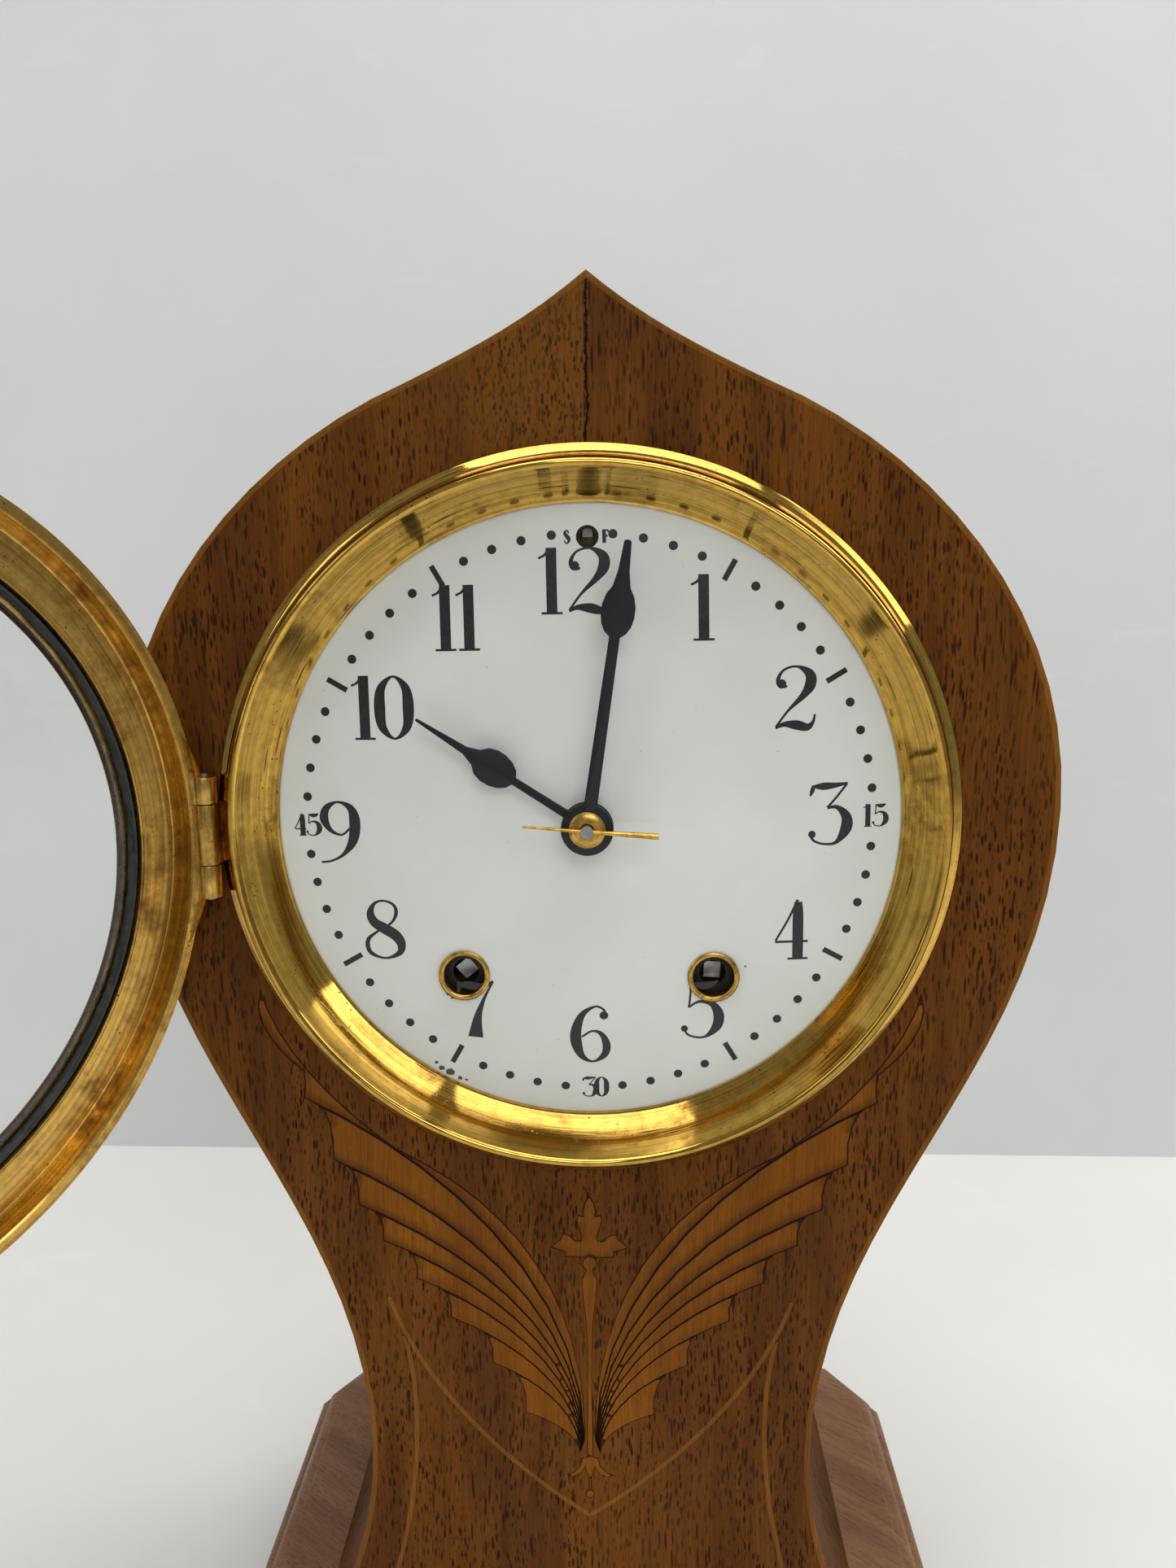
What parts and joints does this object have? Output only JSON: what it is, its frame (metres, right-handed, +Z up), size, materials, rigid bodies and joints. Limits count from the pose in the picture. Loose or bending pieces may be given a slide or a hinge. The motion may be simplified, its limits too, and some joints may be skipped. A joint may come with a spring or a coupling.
{
  "type": "mantel clock",
  "caption": "Inlaid mahogany balloon mantel clock, glazed brass bezel open, enamel dial, spiral gong and pendulum movement with working trains.",
  "frame": {"origin": "centre of the base's footprint, on the surface that the feet stand on", "axes": "+Z up, front of the dial faces -Y, +X to the viewer's right"},
  "size_m": [0.2866, 0.2564, 0.37],
  "materials": {
    "mahogany_front": "open pored mahogany veneer, oiled satin",
    "mahogany_sides": "bent mahogany veneer, satin",
    "mahogany_base": "mahogany, satin",
    "boxwood": "pale stringing, satin",
    "satinwood": "shaded inlay, satin",
    "pine": "raw",
    "bright_brass": "spun and polished",
    "aged_brass": "stained, partly tarnished",
    "enamel": "white vitreous enamel, glossy",
    "blued_steel": "blue black, satin",
    "glass": "clear, bevelled",
    "putty": "dark cement and iron ring",
    "plate_brass": "brushed",
    "steel": "turned",
    "spring_steel": "blued spring",
    "iron": "painted dark"
  },
  "bodies": {
    "case": {"base_board": "mahogany_base", "base_plinth": "mahogany_base", "base_feet": "bright_brass", "front_panel": "mahogany_front", "back_panel": "mahogany_sides", "side_shell_left": "mahogany_sides", "side_shell_right": "mahogany_sides", "edge_line_inlay": "boxwood", "wing_inlay": "satinwood", "torch_inlay": "satinwood", "string_inlay": "boxwood", "glue_blocks": "pine", "reflector_ring": "bright_brass", "hinge_knuckle": "aged_brass", "hinge_pin": "steel", "dial": "enamel", "dial_clips": "aged_brass", "dial_grommets": "aged_brass", "front_plate": "plate_brass", "back_plate": "plate_brass", "plate_pillars": "steel", "pillar_nuts": "plate_brass", "movement_feet": "steel", "feet_screws": "steel", "mainsprings": "spring_steel", "suspension_post": "plate_brass", "gong_coil": "spring_steel", "gong_block": "iron", "back_hinge": "aged_brass", "back_hinge_pin": "steel"},
    "front_door": {"door_bezel": "aged_brass", "door_glass": "glass", "door_retainer": "putty"},
    "rear_door": {"back_door": "aged_brass"},
    "button": {"turn_button": "aged_brass"},
    "minute_set": {"centre_arbor": "steel", "minute_hand": "blued_steel", "hand_washer": "bright_brass", "taper_pin": "bright_brass"},
    "hour_set": {"hour_wheel": "plate_brass", "hour_hand": "blued_steel"},
    "minute_wheel_set": {"minute_wheel": "plate_brass"},
    "time_winding": {"time_arbor": "steel"},
    "time_great": {"time_great_wheel": "plate_brass"},
    "second_set": {"second_wheel": "plate_brass"},
    "centre_set": {"centre_wheel": "plate_brass"},
    "third_set": {"third_wheel": "plate_brass"},
    "escape_set": {"escape_wheel": "plate_brass"},
    "verge_set": {"verge": "steel"},
    "pendulum": {"suspension_spring": "steel", "pendulum_rod": "plate_brass", "pendulum_bob": "plate_brass"},
    "regulator": {"regulator_arbor": "steel"},
    "slide": {"regulator_slide": "plate_brass"},
    "strike_winding": {"strike_arbor": "steel"},
    "strike_great": {"strike_great_wheel": "plate_brass"},
    "cam_set": {"strike_cam_wheel": "plate_brass"},
    "locking_set": {"locking_wheel": "plate_brass"},
    "fly_set": {"strike_fly": "plate_brass"},
    "hammer_set": {"hammer": "iron"}
  },
  "joints": [
    {"name": "front_door_hinge", "type": "hinge", "parent": "case", "child": "front_door", "pos_m": [-0.084, -0.055, 0.2525], "axis": [0, 0, -1], "range_deg": [-125, 14]},
    {"name": "rear_door_hinge", "type": "hinge", "parent": "case", "child": "rear_door", "pos_m": [0.064, 0.0544, 0.254], "axis": [0, 0, -1], "range_deg": [0, 115]},
    {"name": "turn_button_turn", "type": "hinge", "parent": "case", "child": "button", "pos_m": [-0.065, 0.052, 0.254], "axis": [0, 1, 0], "range_deg": [-90, 90]},
    {"name": "minute_turn", "type": "hinge", "parent": "case", "child": "minute_set", "pos_m": [0, 0, 0.254], "axis": [0, 1, 0], "continuous": true},
    {"name": "minute_wheel_turn", "type": "hinge", "parent": "case", "child": "minute_wheel_set", "pos_m": [-0.01128, 0, 0.2499], "axis": [0, 1, 0], "continuous": true},
    {"name": "hour_turn", "type": "hinge", "parent": "case", "child": "hour_set", "pos_m": [0, 0, 0.254], "axis": [0, 1, 0], "continuous": true},
    {"name": "time_winding_turn", "type": "hinge", "parent": "case", "child": "time_winding", "pos_m": [0.0284, 0, 0.2183], "axis": [0, 1, 0], "continuous": true},
    {"name": "third_wheel_turn", "type": "hinge", "parent": "case", "child": "third_set", "pos_m": [0.01027, 0, 0.26965], "axis": [0, 1, 0], "continuous": true},
    {"name": "centre_wheel_turn", "type": "hinge", "parent": "case", "child": "centre_set", "pos_m": [0, 0, 0.254], "axis": [0, 1, 0], "continuous": true},
    {"name": "second_wheel_turn", "type": "hinge", "parent": "case", "child": "second_set", "pos_m": [0.01574, 0, 0.24249], "axis": [0, 1, 0], "continuous": true},
    {"name": "time_great_turn", "type": "hinge", "parent": "case", "child": "time_great", "pos_m": [0.0284, 0, 0.2183], "axis": [0, 1, 0], "continuous": true},
    {"name": "escape_wheel_turn", "type": "hinge", "parent": "case", "child": "escape_set", "pos_m": [0, 0, 0.2834], "axis": [0, 1, 0], "continuous": true},
    {"name": "pendulum_swing", "type": "hinge", "parent": "case", "child": "pendulum", "pos_m": [0, 0.0143, 0.308], "axis": [0, 1, 0], "range_deg": [-4, 4]},
    {"name": "verge_rock", "type": "hinge", "parent": "case", "child": "verge_set", "pos_m": [0, 0, 0.2984], "axis": [0, 1, 0], "range_deg": [-5, 5]},
    {"name": "regulator_turn", "type": "hinge", "parent": "case", "child": "regulator", "pos_m": [0, 0, 0.3176], "axis": [0, 1, 0], "range_deg": [-45, 45]},
    {"name": "regulator_slide_move", "type": "slide", "parent": "case", "child": "slide", "axis": [0, 0, 1], "range_m": [-0.0019, 0.0019]},
    {"name": "strike_winding_turn", "type": "hinge", "parent": "case", "child": "strike_winding", "pos_m": [-0.0284, 0, 0.2183], "axis": [0, 1, 0], "continuous": true},
    {"name": "locking_wheel_turn", "type": "hinge", "parent": "case", "child": "locking_set", "pos_m": [-0.03088, 0, 0.25123], "axis": [0, 1, 0], "continuous": true},
    {"name": "cam_wheel_turn", "type": "hinge", "parent": "case", "child": "cam_set", "pos_m": [-0.01574, 0, 0.24249], "axis": [0, 1, 0], "continuous": true},
    {"name": "strike_great_turn", "type": "hinge", "parent": "case", "child": "strike_great", "pos_m": [-0.0284, 0, 0.2183], "axis": [0, 1, 0], "continuous": true},
    {"name": "fly_turn", "type": "hinge", "parent": "case", "child": "fly_set", "pos_m": [-0.02715, 0, 0.26514], "axis": [0, 1, 0], "continuous": true},
    {"name": "hammer_swing", "type": "hinge", "parent": "case", "child": "hammer_set", "pos_m": [0, 0, 0.198], "axis": [0, 1, 0], "range_deg": [-0.6, 20]}
  ],
  "couplings": [
    {"joint": "minute_wheel_turn", "follows": "minute_turn", "ratio": -0.33333},
    {"joint": "hour_turn", "follows": "minute_turn", "ratio": 0.083333},
    {"joint": "centre_wheel_turn", "follows": "third_wheel_turn", "ratio": -0.083333},
    {"joint": "second_wheel_turn", "follows": "third_wheel_turn", "ratio": 0.041667},
    {"joint": "time_great_turn", "follows": "third_wheel_turn", "ratio": -0.0069444},
    {"joint": "escape_wheel_turn", "follows": "third_wheel_turn", "ratio": -12},
    {"joint": "verge_rock", "follows": "pendulum_swing", "ratio": 1.24},
    {"joint": "regulator_turn", "follows": "regulator_slide_move", "rad_per_m": -400},
    {"joint": "cam_wheel_turn", "follows": "locking_wheel_turn", "ratio": -0.095238},
    {"joint": "strike_great_turn", "follows": "locking_wheel_turn", "ratio": 0.015873},
    {"joint": "fly_turn", "follows": "locking_wheel_turn", "ratio": -9}
  ]
}
